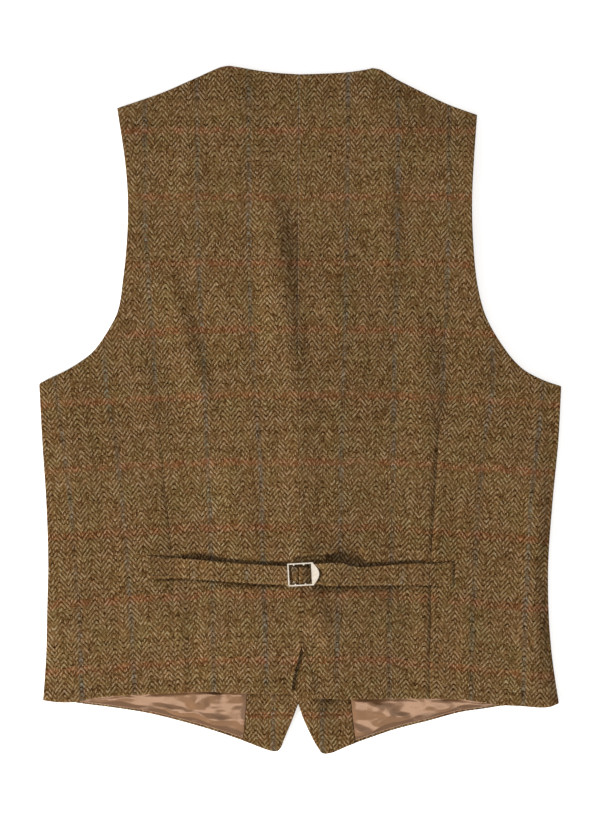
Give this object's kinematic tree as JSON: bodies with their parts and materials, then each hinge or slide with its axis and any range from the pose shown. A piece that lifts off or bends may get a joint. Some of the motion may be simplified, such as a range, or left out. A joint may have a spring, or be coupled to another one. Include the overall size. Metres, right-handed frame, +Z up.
{
  "type": "suit waistcoat",
  "caption": "Sleeveless tweed waistcoat laid flat on its front, back uppermost, with an adjustable back strap and buckle, a vent and pointed lined fronts.",
  "frame": {"origin": "middle of the laid garment's outline, on the surface it lies on", "axes": "+X to the right across the back as it faces up, the wearer's right; +Y from hem to neck; +Z up from the surface, out of the back"},
  "size_m": [0.5228, 0.689, 0.0174],
  "materials": {
    "tweed": "brown herringbone wool tweed with a faint blue and rust windowpane check",
    "satin": "tan satin lining, soft gloss",
    "buckle_metal": "pale nickel plate, softly polished",
    "horn": "dark brown horn effect, satin gloss"
  },
  "bodies": {
    "root": {"back_left": "tweed", "back_right": "tweed", "front_left": "tweed", "front_right": "tweed", "facing_left": "tweed", "facing_right": "tweed", "lining_left": "satin", "lining_right": "satin", "strap_left": "tweed", "strap_right": "tweed", "buckle": "buckle_metal", "button_1": "horn", "button_2": "horn", "button_3": "horn", "button_4": "horn", "button_5": "horn"}
  },
  "joints": []
}
